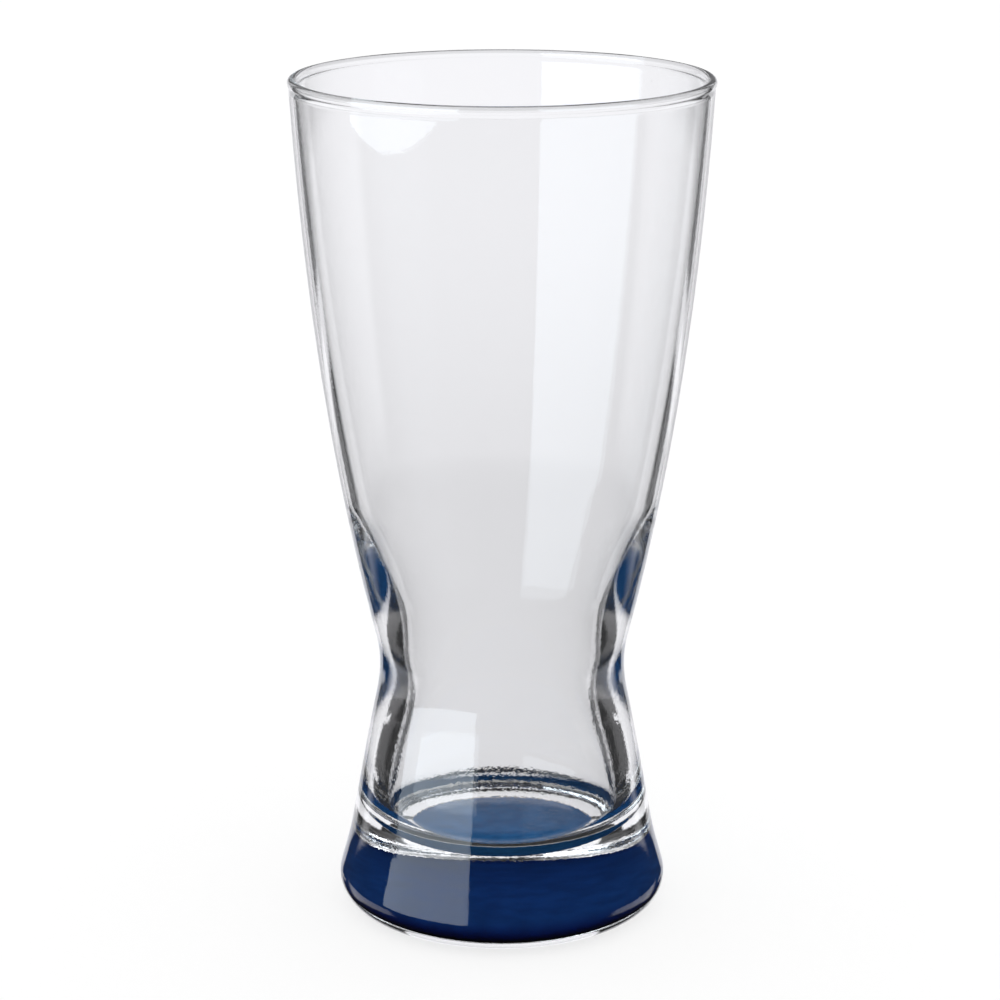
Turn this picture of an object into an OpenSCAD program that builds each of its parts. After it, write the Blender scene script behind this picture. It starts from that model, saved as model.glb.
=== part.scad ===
// Tall footed beer glass: a flared bowl over a narrow waist, a thick clear foot
// and a thin blue coat under it. It stands on z = 0 and turns about the z axis.
// All lengths are in millimetres. A lean is the outward run per unit of rise.

/* [Whole glass] */

// Height from the table to the top of the rim
glass_h = 178; // [160:1:200]
// Diameter over the rim bead
rim_d = 87.1; // [83:0.1:94]
// Diameter of the foot at its widest
foot_d = 70.2; // [67:0.1:78]

/* [Bowl] */

// Thickness of the rounded rim bead
bead_t = 2; // [1.8:0.1:3]
// Thickness of the wall just under the rim bead
rim_wall_t = 1.5; // [1.1:0.1:1.7]
// Thickness of the wall where the bowl starts to thicken
shoulder_wall_t = 2.7; // [1.6:0.1:3]
// Height at which the bowl starts to thicken
shoulder_h = 90; // [80:1:100]
// Lean of the outside just above the waist
bowl_low_lean = 0.247; // [0.2:0.001:0.27]
// Lean of the outside at the rim
bowl_top_lean = 0.057; // [0.02:0.001:0.08]

/* [Waist] */

// Height of the waist
waist_h = 53.3; // [50:0.1:58]
// Outside diameter at both ends of the rounded waist
waist_end_d = 53.6; // [51:0.1:57]
// Height of the rounded waist
waist_round_h = 13.2; // [10:0.1:16]

/* [Inside] */

// Inside diameter of the neck
neck_d = 41; // [34:0.1:42]
// Height of the middle of the neck
neck_h = 50.5; // [47:0.1:56]
// Lean of the inside where it meets the thin wall
shoulder_lean = 0.23; // [0.15:0.01:0.35]
// Inside diameter of the hollow where the round to its floor starts
hollow_d = 49.1; // [43:0.1:50]
// Lean of the inside where the round to the floor starts
hollow_lean = -0.09; // [-0.2:0.01:0]
// Height of the floor inside, which is also the thickness of the base
floor_h = 16.8; // [12:0.1:22]
// Width of the round between the floor and the inside wall
floor_round_w = 7.7; // [4:0.1:14]
// Height of that round
floor_round_h = 7.6; // [4:0.1:14]

/* [Foot] */

// Height of the widest part of the foot
heel_h = 6; // [5:0.1:8]
// Turn of the heel round above its widest part, in degrees
heel_turn = 15; // [12:1:24]
// Height at which the heel's flare runs into the straighter foot
flare_h = 17.5; // [15:0.1:22]
// Outside diameter at that height
flare_d = 64.7; // [62:0.1:68]
// Lean of the foot at that height
flare_lean = -0.187; // [-0.24:0.001:-0.15]
// Lean of the foot just below the waist
foot_top_lean = -0.207; // [-0.24:0.001:-0.15]
// Outer diameter of the ring that the glass stands on
rest_out_d = 57.6; // [55:0.1:62]
// Width of the ring that the glass stands on
rest_w = 0.9; // [0.8:0.1:2]
// Depth of the hollow in the underside
recess_h = 0.6; // [0.5:0.1:2]
// Slant of the side of that hollow, as a share of its depth
recess_slant_share = 0.2; // [0.2:0.1:1.5]

/* [Blue coat] */

// Thickness of the blue coat on the underside
coat_t = 0.2; // [0.1:0.05:0.4]
// Clear strip between the coat and the side of its hollow
coat_clear = 0.1; // [0.1:0.1:1]

/* [Hidden] */

// Flat steps that one full turn is drawn with
turn_steps = 120;
// Straight pieces that each kind of curved stretch is drawn with
long_steps = 16;
short_steps = 8;

rim_r = rim_d / 2;
foot_r = foot_d / 2;
bead_r = bead_t / 2;
waist_end_r = waist_end_d / 2;
neck_r = neck_d / 2;
hollow_r = hollow_d / 2;
rest_out_r = rest_out_d / 2;
rest_in_r = rest_out_r - rest_w;
recess_r = rest_in_r - recess_slant_share * recess_h;
coat_r = recess_r - coat_clear;

// The bead is a circle that the wall runs into on both sides
bead_centre = [rim_r - bead_r, glass_h - bead_r];
bead_open = acos(rim_wall_t / bead_t);
bead_foot_h = bead_centre.y - bead_r * sin(bead_open);

// The heel is a quarter round, carried on a little above its widest part
heel_radii = [foot_r - rest_out_r, heel_h];
heel_centre = [rest_out_r, heel_h];
heel_lean = -heel_radii.x / heel_radii.y * tan(heel_turn);

// Stations of the walls, each as [radius, height, lean]
foot_low = [
    heel_centre.x + heel_radii.x * cos(heel_turn),
    heel_centre.y + heel_radii.y * sin(heel_turn),
    heel_lean
];
flare = [flare_d / 2, flare_h, flare_lean];
foot_top = [waist_end_r, waist_h - waist_round_h / 2, foot_top_lean];
bowl_low = [waist_end_r, waist_h + waist_round_h / 2, bowl_low_lean];
bowl_top = [bead_centre.x + rim_wall_t / 2, bead_foot_h, bowl_top_lean];
hollow_low = [hollow_r, floor_h + floor_round_h, hollow_lean];
neck = [neck_r, neck_h, 0];
shoulder = [wall_r(bowl_low, bowl_top, shoulder_h) - shoulder_wall_t, shoulder_h, shoulder_lean];

// Radius at height h of a smooth wall that passes through two stations
function wall_r(low, high, h) =
    let (
        rise = high.y - low.y,
        t = (h - low.y) / rise
    )
    (2 * t ^ 3 - 3 * t ^ 2 + 1) * low.x
    + (t ^ 3 - 2 * t ^ 2 + t) * rise * low.z
    + (3 * t ^ 2 - 2 * t ^ 3) * high.x
    + (t ^ 3 - t ^ 2) * rise * high.z;

// Points of that wall from one height to another, without the first
function wall(low, high, from_h, to_h, steps) = [
    for (i = [1:steps])
        let (h = from_h + (to_h - from_h) * i / steps)
        [wall_r(low, high, h), h]
];

// Thickness of the upper bowl at height h
function bowl_wall_t(h) =
    rim_wall_t
    + (shoulder_wall_t - rim_wall_t) * (bead_foot_h - h) / (bead_foot_h - shoulder_h);

// Points of a round from one angle to another, without the first
function round_edge(centre, radii, from_a, to_a, steps) = [
    for (i = [1:steps])
        let (a = from_a + (to_a - from_a) * i / steps)
        [centre.x + radii.x * cos(a), centre.y + radii.y * sin(a)]
];

underside = [
    [0, recess_h],
    [recess_r, recess_h],
    [rest_in_r, 0],
    [rest_out_r, 0]
];

outside = concat(
    round_edge(heel_centre, heel_radii, -90, heel_turn, short_steps),
    wall(foot_low, flare, foot_low.y, flare.y, short_steps),
    wall(flare, foot_top, flare.y, foot_top.y, short_steps),
    wall(foot_top, bowl_low, foot_top.y, bowl_low.y, short_steps),
    wall(bowl_low, bowl_top, bowl_low.y, bowl_top.y, long_steps)
);

rim_bead = round_edge(bead_centre, [bead_r, bead_r], -bead_open, 180 + bead_open, long_steps);

inside_bowl = [
    for (i = [1:long_steps])
        let (h = bead_foot_h + (shoulder_h - bead_foot_h) * i / long_steps)
        [wall_r(bowl_low, bowl_top, h) - bowl_wall_t(h), h]
];

inside_foot = concat(
    wall(neck, shoulder, shoulder_h, neck_h, long_steps),
    wall(hollow_low, neck, neck_h, hollow_low.y, short_steps),
    round_edge(
        [hollow_r - floor_round_w, floor_h + floor_round_h],
        [floor_round_w, floor_round_h],
        0, -90, short_steps
    ),
    [[0, floor_h]]
);

// Clear glass in one piece: foot, waist, bowl and rim
module glass_body() {
    color([0.86, 0.93, 0.95, 0.5])
        rotate_extrude($fn = turn_steps)
            polygon(concat(underside, outside, rim_bead, inside_bowl, inside_foot));
}

// Blue coat on the roof of the hollow in the underside
module base_colour_coat() {
    color([0.03, 0.16, 0.5])
        translate([0, 0, recess_h - coat_t])
            cylinder(h = coat_t, r = coat_r, $fn = turn_steps);
}

glass_body();
base_colour_coat();
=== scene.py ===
from math import acos, cos, degrees, dist, pi, radians, sin, tan

import bmesh
import bpy
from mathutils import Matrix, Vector


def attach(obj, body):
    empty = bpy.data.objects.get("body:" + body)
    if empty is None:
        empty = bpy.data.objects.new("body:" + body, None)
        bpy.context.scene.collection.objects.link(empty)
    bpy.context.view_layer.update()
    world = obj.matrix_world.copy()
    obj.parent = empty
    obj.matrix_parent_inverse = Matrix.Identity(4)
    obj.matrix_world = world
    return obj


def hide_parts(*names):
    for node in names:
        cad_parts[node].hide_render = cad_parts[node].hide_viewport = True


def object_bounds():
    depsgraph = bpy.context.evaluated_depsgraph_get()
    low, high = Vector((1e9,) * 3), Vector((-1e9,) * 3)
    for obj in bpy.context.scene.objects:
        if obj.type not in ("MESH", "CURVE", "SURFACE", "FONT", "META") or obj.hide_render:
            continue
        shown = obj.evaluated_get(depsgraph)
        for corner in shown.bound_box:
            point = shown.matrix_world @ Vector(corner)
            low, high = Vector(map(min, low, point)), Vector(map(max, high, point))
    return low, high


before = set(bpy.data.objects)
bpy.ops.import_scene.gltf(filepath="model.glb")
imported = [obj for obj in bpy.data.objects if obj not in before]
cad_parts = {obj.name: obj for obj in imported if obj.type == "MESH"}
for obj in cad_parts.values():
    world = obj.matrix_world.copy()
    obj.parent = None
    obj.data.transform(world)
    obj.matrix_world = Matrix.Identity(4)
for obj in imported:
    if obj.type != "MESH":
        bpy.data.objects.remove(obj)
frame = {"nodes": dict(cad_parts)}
cadLow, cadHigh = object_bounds()
scene = bpy.context.scene
mm = 0.001  # lengths below are written in millimetres
print("frame loaded:", ", ".join(frame["nodes"]))


# Outlines, as lists of (radius, height)


def wallRadius(low, high, height):
    # low and high are (radius, height, lean), the wall between them is one smooth curve
    rise = high[1] - low[1]
    t = (height - low[1]) / rise
    return (
        (2 * t**3 - 3 * t**2 + 1) * low[0]
        + (t**3 - 2 * t**2 + t) * rise * low[2]
        + (3 * t**2 - 2 * t**3) * high[0]
        + (t**3 - t**2) * rise * high[2]
    )


def wall(low, high, start, end, steps):
    heights = [start + (end - start) * i / steps for i in range(1, steps + 1)]
    return [(wallRadius(low, high, h), h) for h in heights]


def roundEdge(centre, radii, start, end, steps):
    angles = [radians(start + (end - start) * i / steps) for i in range(1, steps + 1)]
    return [(centre[0] + radii[0] * cos(a), centre[1] + radii[1] * sin(a)) for a in angles]


def softCorner(before, corner, after, reach, steps):
    # a small round in place of a sharp corner, reach is how far from the corner it starts
    start, end = (
        tuple(c + (o - c) * reach / dist(corner, other) for c, o in zip(corner, other))
        for other in (before, after)
    )
    return [
        tuple((1 - t) ** 2 * s + 2 * t * (1 - t) * c + t * t * e for s, c, e in zip(start, corner, end))
        for t in (i / steps for i in range(steps + 1))
    ]


def spaced(points, gap):
    # extra points wherever two neighbours lie further apart than gap
    result = [points[0]]
    for a, b in zip(points, points[1:]):
        count = max(1, round(dist(a, b) / gap))
        result += [tuple(p + (q - p) * i / count for p, q in zip(a, b)) for i in range(1, count + 1)]
    return result


def turnedPiece(name, outline, turnSteps, fit):
    # a piece turned about the upright axis, its radii times fit
    onAxis = 1e-6
    bm = bmesh.new()
    rings = []
    for radius, height in outline:
        if radius < onAxis:
            rings.append([bm.verts.new((0, 0, height * mm))])
            continue
        r = radius * fit * mm
        angles = [2 * pi * step / turnSteps for step in range(turnSteps)]
        rings.append([bm.verts.new((r * cos(a), r * sin(a), height * mm)) for a in angles])
    for low, high in zip(rings, rings[1:]):
        for k in range(turnSteps):
            n = (k + 1) % turnSteps
            corners = [low[k % len(low)], low[n % len(low)], high[n % len(high)], high[k % len(high)]]
            bm.faces.new(list(dict.fromkeys(corners)))  # three corners where a ring is the axis
    bmesh.ops.recalc_face_normals(bm, faces=bm.faces)
    mesh = bpy.data.meshes.new(name)
    bm.to_mesh(mesh)
    bm.free()
    mesh.shade_smooth()
    piece = bpy.data.objects.new(name, mesh)
    scene.collection.objects.link(piece)
    return piece


# Shader nodes


def newMaterial(name):
    material = bpy.data.materials.new(name)
    material.use_nodes = True
    return material, material.node_tree, material.node_tree.nodes["Principled BSDF"]


def feed(tree, target, value):
    # a socket is linked to the input, anything else is its value
    if isinstance(value, bpy.types.NodeSocket):
        tree.links.new(value, target)
    else:
        target.default_value = value


def addNode(tree, kind, **values):
    # values are given by the input's name without its spaces
    node = tree.nodes.new(kind)
    for key, value in values.items():
        target = next(s for s in node.inputs if s.name.replace(" ", "") == key)
        feed(tree, target, value)
    return node


def addMath(tree, operation, *terms):
    node = tree.nodes.new("ShaderNodeMath")
    node.operation = operation
    for target, value in zip(node.inputs, terms):
        feed(tree, target, value)
    return node.outputs[0]


def times(tree, *values):
    product = values[0]
    for value in values[1:]:
        product = addMath(tree, "MULTIPLY", product, value)
    return product


def highest(tree, *values):
    top = values[0]
    for value in values[1:]:
        top = addMath(tree, "MAXIMUM", top, value)
    return top


def ramp(tree, value, low, high, atLow, atHigh, smooth=True):
    node = tree.nodes.new("ShaderNodeMapRange")
    node.interpolation_type = "SMOOTHSTEP" if smooth else "LINEAR"
    tree.links.new(value, node.inputs["Value"])
    for key, number in zip(("From Min", "From Max", "To Min", "To Max"), (low, high, atLow, atHigh)):
        feed(tree, node.inputs[key], number)
    return node.outputs["Result"]


def mixColour(tree, share, first, second):
    node = tree.nodes.new("ShaderNodeMix")
    node.data_type = "RGBA"
    tree.links.new(share, node.inputs[0])
    for target, value in zip(node.inputs[6:8], (first, second)):
        feed(tree, target, (*value, 1) if isinstance(value, tuple) else value)
    return node.outputs[2]


def mixShaders(tree, share, first, second):
    node = tree.nodes.new("ShaderNodeMixShader")
    for target, value in zip(node.inputs, (share, first, second)):
        tree.links.new(value, target)
    return node.outputs[0]


def placeOf(tree):
    return tree.nodes.new("ShaderNodeTexCoord").outputs["Object"]


def fromMiddle(tree, place):
    # distance from the middle of the piece
    node = tree.nodes.new("ShaderNodeVectorMath")
    node.operation = "LENGTH"
    tree.links.new(place, node.inputs[0])
    return node.outputs["Value"]


def noise(tree, place, width, detail):
    node = addNode(tree, "ShaderNodeTexNoise", Vector=place, Scale=1 / (width * mm), Detail=detail)
    return node.outputs["Fac"]


def specks(tree, place, gap, size, kept):
    # 1 inside small scattered dots, of which the share called kept is there at all
    cells = addNode(tree, "ShaderNodeTexVoronoi", Vector=place, Scale=1 / (gap * mm))
    near = addMath(tree, "LESS_THAN", cells.outputs["Distance"], size / gap)
    pick = addNode(tree, "ShaderNodeSeparateColor", Color=cells.outputs["Color"]).outputs[0]
    return times(tree, near, addMath(tree, "LESS_THAN", pick, kept))


def seenByGlass(tree, light):
    # 1 for light that reaches this through the glass or by a reflection in it
    return highest(tree, light["Is Glossy Ray"], light["Is Transmission Ray"])


# The clear glass. A lean is the outward run of a wall per unit of rise.
vessel = {
    "height": 178.0,
    "rimWidth": 87.1,
    "beadThickness": 2.0,
    "rimWall": 1.5,
    "bowlTopLean": 0.057,
    "bowlLowLean": 0.247,
    "shoulderHeight": 90.0,
    "shoulderWall": 2.7,
    "shoulderLean": 0.23,
    "waistHeight": 53.3,
    "waistEndWidth": 53.6,  # outside, at both ends of the rounded waist
    "waistRound": 13.2,
    "neckWidth": 41.0,
    "neckHeight": 50.5,
    "hollowWidth": 49.1,
    "hollowLean": -0.09,
    "floorHeight": 16.8,
    "floorRound": 7.7,  # width of the round between the floor and the inside wall
    "floorRise": 7.6,  # and its height
    "footTopLean": -0.207,
    "flareHeight": 17.5,
    "flareWidth": 64.7,
    "flareLean": -0.187,
    "footWidth": 70.2,
    "heelHeight": 6.0,
    "heelTurn": 15.0,  # degrees that the heel's round goes on above the widest part
    "restWidth": 57.6,
    "restRing": 0.9,
    "recessDepth": 0.6,
    "recessSlant": 0.12,
    "roofCorner": 0.08,  # reach of the small rounds in the recess and on the rest ring
    "ringCorner": 0.3,
    "cornerSteps": 6,
    "ringGap": 1.2,  # longest straight piece of the outline
    "turnSteps": 288,
    "steps": {  # straight pieces in each stretch of the outline
        "heel": 20,
        "flare": 14,
        "foot": 20,
        "waist": 16,
        "bowl": 80,
        "rim": 28,
        "insideBowl": 64,
        "neck": 32,
        "hollow": 22,
        "floor": 24,
    },
}
# The material: clear, with the fine ripple of pressed glass low down and a little dust
clearGlass = {
    "colour": (1.0, 1.0, 1.0),
    "ior": 1.51,
    "dustColour": (0.42, 0.42, 0.42),
    "dustGap": 4.5,  # between specks, of which only some show
    "dustSize": 0.11,
    "dustShare": 0.5,
    "ripple": 0.008,  # height of the fine ripple
    "rippleWidth": 0.6,
    "wave": 0.012,
    "waveWidth": 7.0,
    "rippleDetail": 1.0,
    "calmHeights": (50.0, 75.0),  # between these the ripple and the wave weaken
    "calmShare": 0.25,
}


def underside(v):
    restOut = v["restWidth"] / 2
    restIn = restOut - v["restRing"]
    middle = (0, v["recessDepth"])
    roofEdge = (restIn - v["recessSlant"], v["recessDepth"])
    points = [middle]
    points += softCorner(middle, roofEdge, (restIn, 0), v["roofCorner"], v["cornerSteps"])
    points += softCorner(roofEdge, (restIn, 0), (restOut, 0), v["ringCorner"], v["cornerSteps"])
    return points + [(restOut, 0)]


def vesselOutline(v):
    # from the middle of the underside, up the outside, over the rim, down inside to the floor
    steps = v["steps"]
    beadRadius = v["beadThickness"] / 2
    bead = (v["rimWidth"] / 2 - beadRadius, v["height"] - beadRadius)
    beadOpen = acos(v["rimWall"] / v["beadThickness"])
    beadFoot = bead[1] - beadRadius * sin(beadOpen)

    heel = (v["restWidth"] / 2, v["heelHeight"])
    heelRadii = (v["footWidth"] / 2 - heel[0], v["heelHeight"])
    turn = radians(v["heelTurn"])
    footLow = (
        heel[0] + heelRadii[0] * cos(turn),
        heel[1] + heelRadii[1] * sin(turn),
        -heelRadii[0] / heelRadii[1] * tan(turn),
    )
    flare = (v["flareWidth"] / 2, v["flareHeight"], v["flareLean"])
    waistEnd = v["waistEndWidth"] / 2
    footTop = (waistEnd, v["waistHeight"] - v["waistRound"] / 2, v["footTopLean"])
    bowlLow = (waistEnd, v["waistHeight"] + v["waistRound"] / 2, v["bowlLowLean"])
    bowlTop = (bead[0] + v["rimWall"] / 2, beadFoot, v["bowlTopLean"])
    outside = roundEdge(heel, heelRadii, -90, v["heelTurn"], steps["heel"])
    outside += wall(footLow, flare, footLow[1], flare[1], steps["flare"])
    outside += wall(flare, footTop, flare[1], footTop[1], steps["foot"])
    outside += wall(footTop, bowlLow, footTop[1], bowlLow[1], steps["waist"])
    outside += wall(bowlLow, bowlTop, bowlLow[1], bowlTop[1], steps["bowl"])

    openDegrees = degrees(beadOpen)
    rim = roundEdge(bead, (beadRadius, beadRadius), -openDegrees, 180 + openDegrees, steps["rim"])

    shoulderHeight = v["shoulderHeight"]
    insideBowl = []
    for radius, height in wall(bowlLow, bowlTop, beadFoot, shoulderHeight, steps["insideBowl"]):
        thinning = (beadFoot - height) / (beadFoot - shoulderHeight)
        thickness = v["rimWall"] + (v["shoulderWall"] - v["rimWall"]) * thinning
        insideBowl.append((radius - thickness, height))

    hollowRadius = v["hollowWidth"] / 2
    floorRadii = (v["floorRound"], v["floorRise"])
    hollow = (hollowRadius, v["floorHeight"] + floorRadii[1], v["hollowLean"])
    neck = (v["neckWidth"] / 2, v["neckHeight"], 0)
    shoulder = (
        wallRadius(bowlLow, bowlTop, shoulderHeight) - v["shoulderWall"],
        shoulderHeight,
        v["shoulderLean"],
    )
    roundCentre = (hollowRadius - floorRadii[0], hollow[1])
    insideFoot = wall(neck, shoulder, shoulderHeight, neck[1], steps["neck"])
    insideFoot += wall(hollow, neck, neck[1], hollow[1], steps["hollow"])
    insideFoot += roundEdge(roundCentre, floorRadii, 0, -90, steps["floor"])
    insideFoot += [(0, v["floorHeight"])]
    return spaced(underside(v) + outside + rim + insideBowl + insideFoot, v["ringGap"])


def makeClearGlass(g):
    material, tree, shader = newMaterial("clearGlass")
    shader.inputs["Roughness"].default_value = 0.0
    shader.inputs["IOR"].default_value = g["ior"]
    shader.inputs["Transmission Weight"].default_value = 1.0
    place = placeOf(tree)
    dust = specks(tree, place, g["dustGap"], g["dustSize"], g["dustShare"])
    colour = mixColour(tree, dust, g["colour"], g["dustColour"])
    tree.links.new(colour, shader.inputs["Base Color"])
    height = addNode(tree, "ShaderNodeSeparateXYZ", Vector=place).outputs["Z"]
    calm = ramp(tree, height, *(h * mm for h in g["calmHeights"]), 1.0, g["calmShare"])
    fine = times(tree, noise(tree, place, g["rippleWidth"], g["rippleDetail"]), g["ripple"] * mm)
    broad = times(tree, noise(tree, place, g["waveWidth"], g["rippleDetail"]), g["wave"] * mm)
    relief = times(tree, addMath(tree, "ADD", fine, broad), calm)
    bump = addNode(tree, "ShaderNodeBump", Strength=1.0, Distance=1.0, Height=relief)
    tree.links.new(bump.outputs["Normal"], shader.inputs["Normal"])
    return material


# The CAD part turns in flat steps, so its box is a hair narrower than its rim
roundFit = min(1.0, cadHigh[0] / mm / (vessel["rimWidth"] / 2))

outline = vesselOutline(vessel)
glassVessel = turnedPiece("glassVessel", outline, vessel["turnSteps"], roundFit)
glassVessel.data.materials.append(makeClearGlass(clearGlass))
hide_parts("glass_body")
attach(glassVessel, "root")
print("glass vessel made,", len(glassVessel.data.vertices), "points")


# The blue coat on the roof of the recess under the foot
coat = {
    "thickness": 0.2,
    "clearStrip": 0.1,  # between the coat and the side of the recess
    "bite": 0.02,  # it reaches this far into the glass, so that light meets no air between them
    "edgeRound": 0.06,
    "edgeSteps": 3,
    "ringGap": 2.0,
    "turnSteps": 240,
}
# The material: blue lacquer, deeper in colour the flatter it is looked at, lighter blue towards its
# edge
blueCoat = {
    "colour": (0.07, 0.42, 0.75),
    "edgeColour": (0.10, 0.55, 1.0),
    "edgeWidth": 0.9,
    "speckColour": (0.30, 0.42, 0.55),
    "speckGap": 2.6,
    "speckSize": 0.09,
    "speckShare": 0.6,
    "lacquer": (0.46, 0.446, 0.613, 1),  # what one straight pass through it leaves
    "roughness": 0.4,
    "mottle": 0.14,
    "mottleWidth": 5.0,
    "mottleDetail": 5.0,
    "mottleRange": (0.3, 0.7),  # levels of the noise that give the darkest and the lightest spots
}


def coatOutline(c, radius, roof):
    top = roof + c["bite"]
    low = roof - c["thickness"]
    reach, steps = c["edgeRound"], c["edgeSteps"]
    points = [(0, low), (radius - reach, low)]
    points += softCorner((0, low), (radius, low), (radius, top), reach, steps)[1:]
    points += softCorner((radius, low), (radius, top), (0, top), reach, steps)
    points += [(0, top)]
    return spaced(points, c["ringGap"])


def makeBlueCoat(b, radius):
    material, tree, shader = newMaterial("blueCoat")
    place = placeOf(tree)
    edge = ramp(tree, fromMiddle(tree, place), (radius - b["edgeWidth"]) * mm, radius * mm, 0, 1)
    colour = mixColour(tree, edge, b["colour"], b["edgeColour"])
    dots = specks(tree, place, b["speckGap"], b["speckSize"], b["speckShare"])
    colour = mixColour(tree, dots, colour, b["speckColour"])
    mottle = noise(tree, place, b["mottleWidth"], b["mottleDetail"])
    level = ramp(tree, mottle, *b["mottleRange"], 1 - b["mottle"], 1 + b["mottle"])
    shade = tree.nodes.new("ShaderNodeVectorMath")
    shade.operation = "SCALE"
    tree.links.new(colour, shade.inputs[0])
    tree.links.new(level, shade.inputs["Scale"])
    tree.links.new(shade.outputs[0], shader.inputs["Base Color"])
    shader.inputs["Roughness"].default_value = b["roughness"]
    shader.inputs["Specular IOR Level"].default_value = 0.0
    shader.inputs["Coat Weight"].default_value = 1.0
    shader.inputs["Coat IOR"].default_value = 1.0
    shader.inputs["Coat Tint"].default_value = b["lacquer"]
    return material


coatRadius = vessel["restWidth"] / 2 - vessel["restRing"] - vessel["recessSlant"] - coat["clearStrip"]
outline = coatOutline(coat, coatRadius, vessel["recessDepth"])
coatFilm = turnedPiece("coatFilm", outline, coat["turnSteps"], roundFit)
coatFilm.data.materials.append(makeBlueCoat(blueCoat, coatRadius))
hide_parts("base_colour_coat")
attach(coatFilm, "root")
print("blue coat made")


# The table: pale, and seen through the glass only close under the foot, where the glass sees a dim
# glowing patch that is painted shadow of the foot
table = {
    "reach": 4000.0,
    "clearance": 0.02,  # under the foot
    "colour": (0.96, 0.96, 0.96, 1),
    "roughness": 0.9,
    "shadowShare": 0.3,  # how much of the shadow the camera sees, the rest is plain white
    "white": 1.05,
    "underFoot": 0.35,  # dim glow of the patch that the glass sees under its foot, painted shadow of the foot on the table
    "patchRadius": 29.0,
}


def makeTable(t):
    mesh = bpy.data.meshes.new("table")
    bm = bmesh.new()
    bmesh.ops.create_grid(bm, x_segments=2, y_segments=2, size=t["reach"] * mm)
    bm.to_mesh(mesh)
    bm.free()
    piece = bpy.data.objects.new("table", mesh)
    piece.location.z = -t["clearance"] * mm
    scene.collection.objects.link(piece)
    material, tree, shader = newMaterial("paleTable")
    shader.inputs["Base Color"].default_value = t["colour"]
    shader.inputs["Roughness"].default_value = t["roughness"]
    shader.inputs["Specular IOR Level"].default_value = 0.0
    light = tree.nodes.new("ShaderNodeLightPath").outputs
    white = addNode(tree, "ShaderNodeEmission", Strength=t["white"])
    share = times(tree, light["Is Camera Ray"], 1 - t["shadowShare"])
    seen = mixShaders(tree, share, shader.outputs[0], white.outputs[0])
    away = fromMiddle(tree, placeOf(tree))
    near = addMath(tree, "LESS_THAN", away, t["patchRadius"] * mm)
    # painted shadow: a dim glowing patch stands in for the table shaded under the foot
    shadowPatch = addNode(tree, "ShaderNodeEmission", Strength=t["underFoot"])
    clear = tree.nodes.new("ShaderNodeBsdfTransparent")
    through = mixShaders(tree, near, clear.outputs[0], shadowPatch.outputs[0])
    surface = mixShaders(tree, seenByGlass(tree, light), seen, through)
    tree.links.new(surface, tree.nodes["Material Output"].inputs["Surface"])
    mesh.materials.append(material)
    return piece


tableTop = makeTable(table)
print("table made")


# The studio, as the glass sees it: a white window behind, black wings beside it, dim elsewhere.
# Angles are in degrees. A turn of 0 is straight behind the glass and plus is to the right,
# a rise of 0 is level.
studio = {
    "plain": 1.0,  # light on the table and all that isn't glass
    "backdrop": 1.0,
    "tint": (0.99, 0.99, 1.02, 1),
    "edge": 0.8,  # half the soft edge at the sides of the window and the wings
    "dim": 0.03,
    "window": 0.98,
    "windowHalf": 26.5,
    "windowTop": (-2, 8),  # each end of the window fades between two rises
    "veil": 0.32,  # what is left of the window above that, seen as the veil on the floor inside
    "veilTop": (26, 36),
    "windowFoot": (-51, -45),
    "wideHalf": 37.0,  # for light turned in the glass the window is wider in this strip
    "wideRise": (-19.5, -18, -16.8, -15.8),
    "windowFall": (-20, -10),  # the window dims between these towards its foot
    "fallShare": (0.84, 1.02),
    "sweepTurn": (-8, 8),  # and it is a little brighter on the left
    "sweep": (1.03, 0.99),
    "wingEnd": 62.0,
    "wingFrom": (-6, -2),  # below this rise, for light that was never turned, the wings are narrow
    "narrowEnd": 37.0,
    "steepFrom": (-62, -56),  # straight down, light that was never turned finds a light table again
    "glowFrom": 52.0,  # a light strip beside and behind the camera, met by light turned twice
    "glowRise": (20, 24, 58, 62),
    "sideTurn": (42, 52, 92, 100),  # soft light low on both sides, seen in the outside of the glass
    "sideRise": (-29, -25, -13, -11),
    "side": 1.3,
}


def fade(tree, angle, ends, atLow, atHigh):
    return ramp(tree, angle, radians(ends[0]), radians(ends[1]), atLow, atHigh)


def strip(tree, angle, stops):
    # 1 between the two inner stops, fading to 0 at the outer ones
    return times(tree, fade(tree, angle, stops[:2], 0, 1), fade(tree, angle, stops[2:], 1, 0))


def within(tree, s, turn, limit):
    return fade(tree, turn, (limit - s["edge"], limit + s["edge"]), 1, 0)


def beyond(tree, s, turn, limit):
    return fade(tree, turn, (limit - s["edge"], limit + s["edge"]), 0, 1)


def turnedLevel(tree, s, turn, rise):
    # what light that was turned inside the glass meets
    inWide = times(tree, within(tree, s, turn, s["wideHalf"]), strip(tree, rise, s["wideRise"]))
    inside = highest(tree, within(tree, s, turn, s["windowHalf"]), inWide)
    belowTop = fade(tree, rise, s["windowTop"], 1, s["veil"])
    belowVeil = fade(tree, rise, s["veilTop"], 1, 0)
    aboveFoot = fade(tree, rise, s["windowFoot"], 0, 1)
    lit = times(tree, inside, belowTop, belowVeil, aboveFoot)
    return ramp(tree, lit, 0, 1, s["dim"], s["window"], smooth=False)


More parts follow.
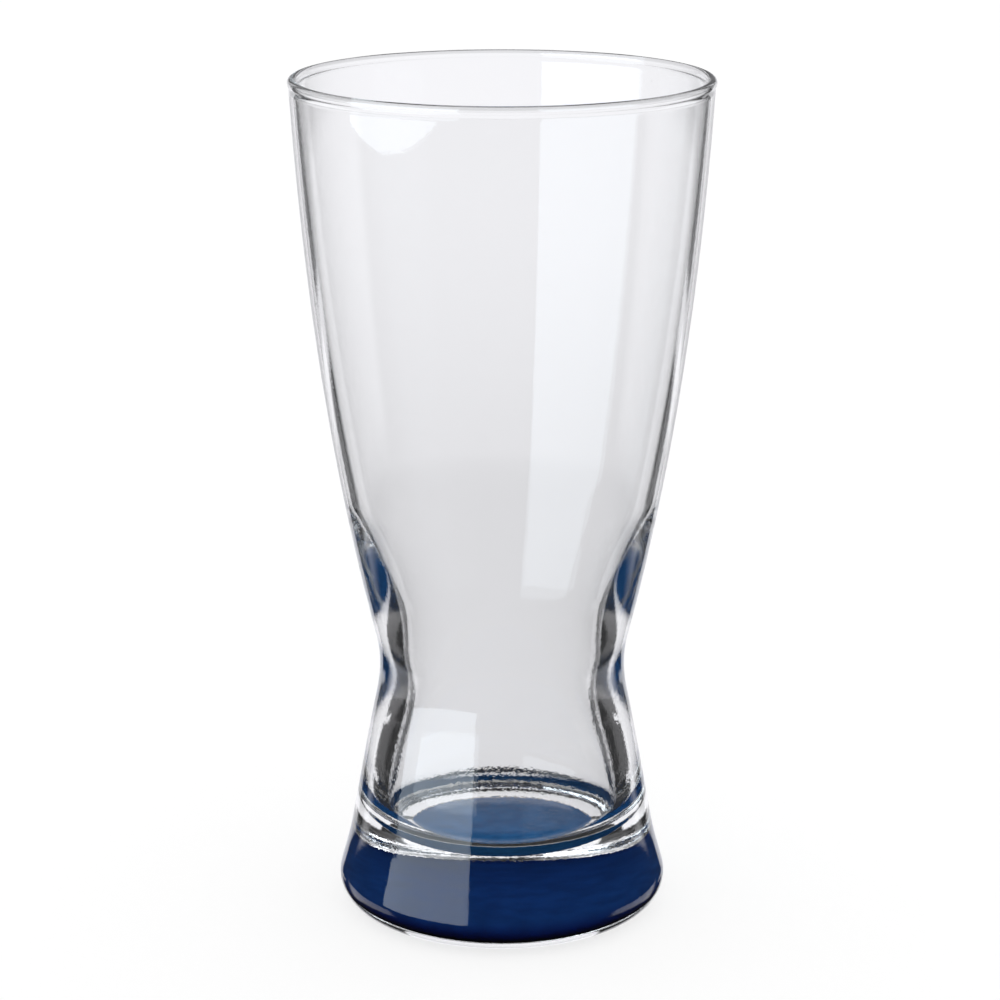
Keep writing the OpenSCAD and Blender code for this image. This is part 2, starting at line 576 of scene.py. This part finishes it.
def clearLevel(tree, s, heading, turn, rise):
    # what light that only passed through the glass meets
    belowWing = fade(tree, rise, s["wingFrom"], 1, 0)
    besideNarrow = times(tree, belowWing, beyond(tree, s, turn, s["narrowEnd"]))
    besideWing = highest(tree, beyond(tree, s, turn, s["wingEnd"]), besideNarrow)
    view = highest(tree, within(tree, s, turn, s["windowHalf"]), besideWing)
    aboveFoot = fade(tree, rise, s["windowFoot"], 0, 1)
    steep = fade(tree, rise, s["steepFrom"], 1, 0)
    lit = highest(tree, times(tree, view, aboveFoot), steep)
    fall = fade(tree, rise, s["windowFall"], *(share * s["window"] for share in s["fallShare"]))
    sweep = fade(tree, heading, s["sweepTurn"], *s["sweep"])
    return ramp(tree, lit, 0, 1, s["dim"], times(tree, fall, sweep), smooth=False)


def makeStudio(s):
    world = bpy.data.worlds.new("studio")
    scene.world = world
    world.use_nodes = True
    tree = world.node_tree
    tree.nodes.clear()
    light = tree.nodes.new("ShaderNodeLightPath").outputs
    way = tree.nodes.new("ShaderNodeTexCoord").outputs["Generated"]
    axes = addNode(tree, "ShaderNodeSeparateXYZ", Vector=way).outputs
    heading = addMath(tree, "ARCTAN2", axes["X"], axes["Y"])
    turn = addMath(tree, "ABSOLUTE", heading)
    rise = addMath(tree, "ARCSINE", axes["Z"])

    # a depth counts 0, 1, 2 and so on
    turned = addMath(tree, "GREATER_THAN", light["Glossy Depth"], 0.5)
    turnedTwice = addMath(tree, "GREATER_THAN", light["Glossy Depth"], 1.5)
    outer = addMath(tree, "LESS_THAN", light["Transmission Depth"], 0.5)
    levels = (clearLevel(tree, s, heading, turn, rise), turnedLevel(tree, s, turn, rise))
    level = ramp(tree, turned, 0, 1, *levels, smooth=False)
    behind = beyond(tree, s, turn, s["glowFrom"])
    glow = times(tree, strip(tree, rise, s["glowRise"]), behind, turnedTwice)
    side = times(tree, strip(tree, turn, s["sideTurn"]), strip(tree, rise, s["sideRise"]))
    side = times(tree, side, outer, s["side"])
    level = highest(tree, level, glow, side)

    white = (1, 1, 1, 1)
    seen = addNode(tree, "ShaderNodeBackground", Color=s["tint"], Strength=level)
    plain = addNode(tree, "ShaderNodeBackground", Color=white, Strength=s["plain"])
    backdrop = addNode(tree, "ShaderNodeBackground", Color=white, Strength=s["backdrop"])
    lighting = mixShaders(tree, seenByGlass(tree, light), plain.outputs[0], seen.outputs[0])
    surface = mixShaders(tree, light["Is Camera Ray"], lighting, backdrop.outputs[0])
    output = tree.nodes.new("ShaderNodeOutputWorld")
    tree.links.new(surface, output.inputs["Surface"])


makeStudio(studio)
print("studio made")


# The softbox in front on the left
softbox = {
    "place": (-908.0, -621.0, 460.0),
    "aim": (0.0, 0.0, 460.0),
    "width": 1400.0,
    "tall": 1180.0,
    "brightness": 2.85,  # as seen in the outside of the glass, where 1 is white
    "inside": 0.54,  # share of it for light that has been through the glass
    "colour": (0.88, 1.0, 1.08),
}


def makeSoftbox(s):
    lamp = bpy.data.lights.new("softbox", "AREA")
    lamp.shape = "RECTANGLE"
    lamp.size = s["width"] * mm
    lamp.size_y = s["tall"] * mm
    lamp.energy = s["brightness"] * pi * lamp.size * lamp.size_y
    lamp.color = s["colour"]
    lamp.use_nodes = True
    tree = lamp.node_tree
    depth = tree.nodes.new("ShaderNodeLightPath").outputs["Transmission Depth"]
    share = ramp(tree, depth, 0.4, 0.6, 1.0, s["inside"])  # a depth is 0, 1, 2 and so on
    tree.links.new(share, tree.nodes["Emission"].inputs["Strength"])
    piece = bpy.data.objects.new("softbox", lamp)
    piece.location = Vector(s["place"]) * mm
    away = Vector(s["aim"]) - Vector(s["place"])
    piece.rotation_euler = away.to_track_quat("-Z", "Y").to_euler()
    piece.visible_camera = False
    piece.visible_diffuse = False
    scene.collection.objects.link(piece)


makeSoftbox(softbox)
print("softbox made")


# The camera, at the photograph's angle
camera = {
    "place": (0.0, -614.7, 261.3),
    "tilt": 15.674,  # degrees down
    "yaw": 0.04,
    "lens": 109.25,
    "sensor": 36.0,
    "nearest": 10.0,  # anything closer than this is not seen
}


def makeCamera(c):
    data = bpy.data.cameras.new("camera")
    data.sensor_width = c["sensor"]
    data.lens = c["lens"]
    data.clip_start = c["nearest"] * mm
    piece = bpy.data.objects.new("camera", data)
    piece.location = Vector(c["place"]) * mm
    piece.rotation_euler = (radians(90 - c["tilt"]), 0, radians(c["yaw"]))
    scene.collection.objects.link(piece)
    scene.camera = piece


makeCamera(camera)
print("camera made")

# Light turns back many times inside the thick foot
scene.cycles.max_bounces = 48
scene.cycles.glossy_bounces = 32
scene.cycles.transmission_bounces = 40
scene.cycles.diffuse_bounces = 3
scene.cycles.transparent_max_bounces = 16
scene.view_settings.view_transform = "Standard"
